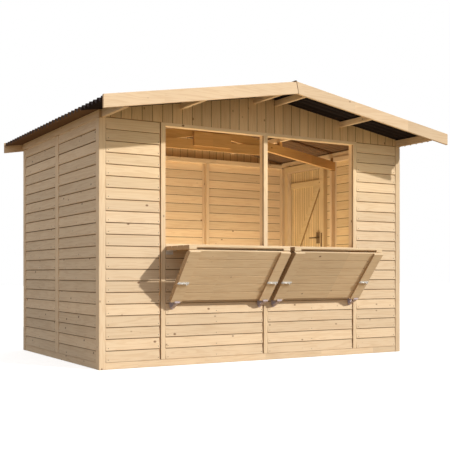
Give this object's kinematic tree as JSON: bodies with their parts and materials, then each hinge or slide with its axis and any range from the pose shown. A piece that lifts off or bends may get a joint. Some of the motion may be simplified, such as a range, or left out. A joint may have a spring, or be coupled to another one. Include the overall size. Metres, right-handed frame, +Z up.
{
  "type": "wooden sales kiosk",
  "caption": "Free-standing wooden sales kiosk with lap-board walls, corrugated gable roof, serving windows with folded-out counters and a hinged side door.",
  "frame": {"origin": "on the ground under the middle of the roof's outline", "axes": "+X along the serving front to the viewer's right, +Y from the serving front to the rear wall, +Z up"},
  "size_m": [3.3, 2.53, 2.274],
  "materials": {
    "spruce": "sawn, untreated",
    "truss_timber": "sawn, untreated",
    "roof_bitumen": "matte bitumen sheet",
    "galvanised_steel": "galvanised",
    "lock_steel": "satin black"
  },
  "bodies": {
    "kiosk": {"base_rail_front": "spruce", "base_rail_rear": "spruce", "base_rail_left": "spruce", "base_rail_right": "spruce", "corner_posts": "spruce", "front_panels": "spruce", "counter_walls": "spruce", "window_posts": "spruce", "window_sills": "spruce", "window_header": "spruce", "front_gable_left": "spruce", "front_gable_right": "spruce", "left_wall": "spruce", "right_wall": "spruce", "side_posts": "spruce", "door_posts": "spruce", "door_head": "spruce", "back_wall": "spruce", "back_posts": "spruce", "back_gable_left": "spruce", "back_gable_right": "spruce", "wall_plates": "spruce", "eave_purlins": "spruce", "mid_purlins": "spruce", "ridge_purlins": "spruce", "truss_rafter_left": "truss_timber", "truss_rafter_right": "truss_timber", "collar_tie": "truss_timber", "truss_gusset": "truss_timber", "front_bargeboards": "spruce", "rear_bargeboards": "spruce", "roof_sheet_left": "roof_bitumen", "roof_sheet_right": "roof_bitumen", "ridge_cap": "roof_bitumen", "counter_left": "spruce", "counter_right": "spruce", "support_left": "spruce", "support_right": "spruce", "shutter_hinges": "galvanised_steel", "support_brackets": "galvanised_steel", "door_hinge_plates": "galvanised_steel"},
    "door": {"door_leaf": "spruce", "door_bracing": "spruce", "door_lock": "lock_steel", "door_hinges": "galvanised_steel"}
  },
  "joints": [
    {"name": "door_hinge", "type": "hinge", "parent": "kiosk", "child": "door", "pos_m": [1.507, 0.943, 0.958], "axis": [0, 0, 1], "range_deg": [0, 110]}
  ]
}
